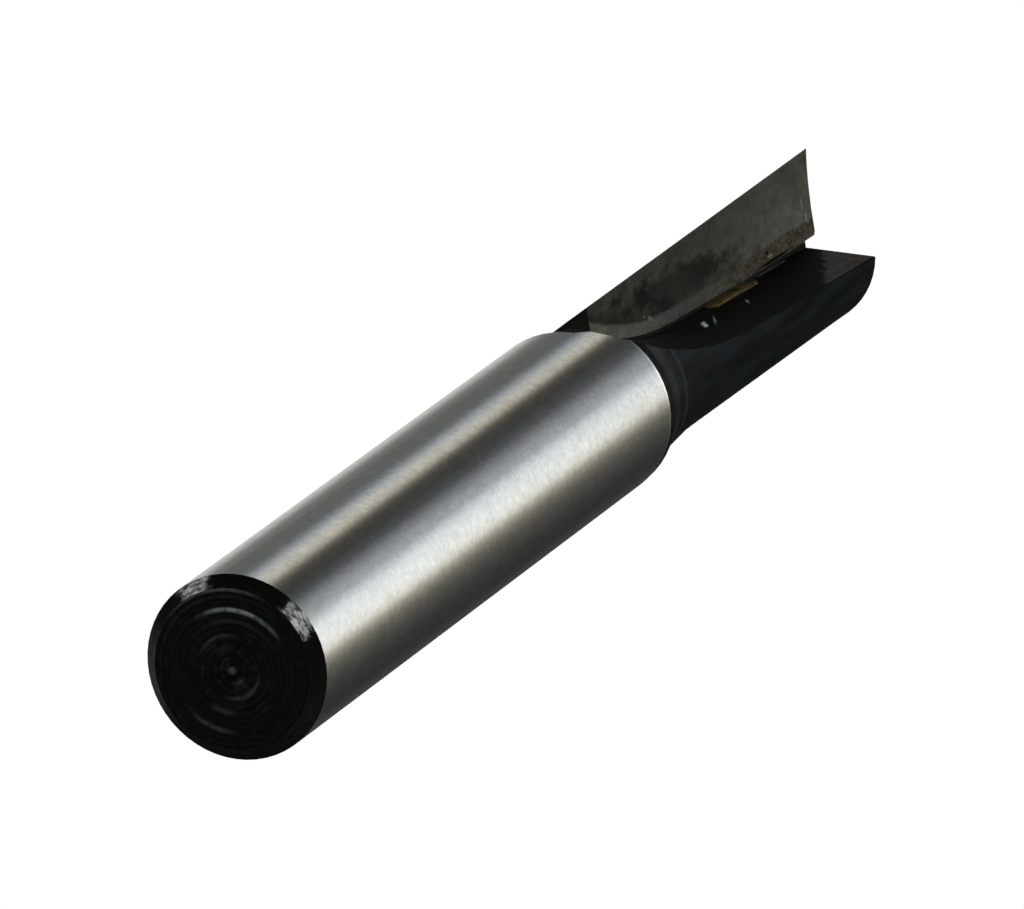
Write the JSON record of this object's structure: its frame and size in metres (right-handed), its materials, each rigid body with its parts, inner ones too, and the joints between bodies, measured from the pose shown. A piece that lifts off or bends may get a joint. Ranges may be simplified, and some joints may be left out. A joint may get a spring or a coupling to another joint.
{
  "type": "router bit",
  "caption": "Straight router bit: a round steel shank for a collet, and a turned-down body with a brazed carbide cutting edge beside an open flute.",
  "frame": {"origin": "centre of the flat end face of the shank, which the bit stands on", "axes": "+Z along the bit's axis from the shank to the cutting end, +X from the axis to the cutting edge, +Y the way the rake face looks"},
  "size_m": [0.0065, 0.0064, 0.0542],
  "materials": {
    "body": "shank ground bright, the rest black oxide",
    "carbide_tip": "ground cemented carbide, dark grey",
    "braze_seam": "silver-brass braze as it froze"
  },
  "bodies": {
    "root": {"body": "body", "carbide_tip": "carbide_tip", "braze_seam": "braze_seam"}
  },
  "joints": []
}
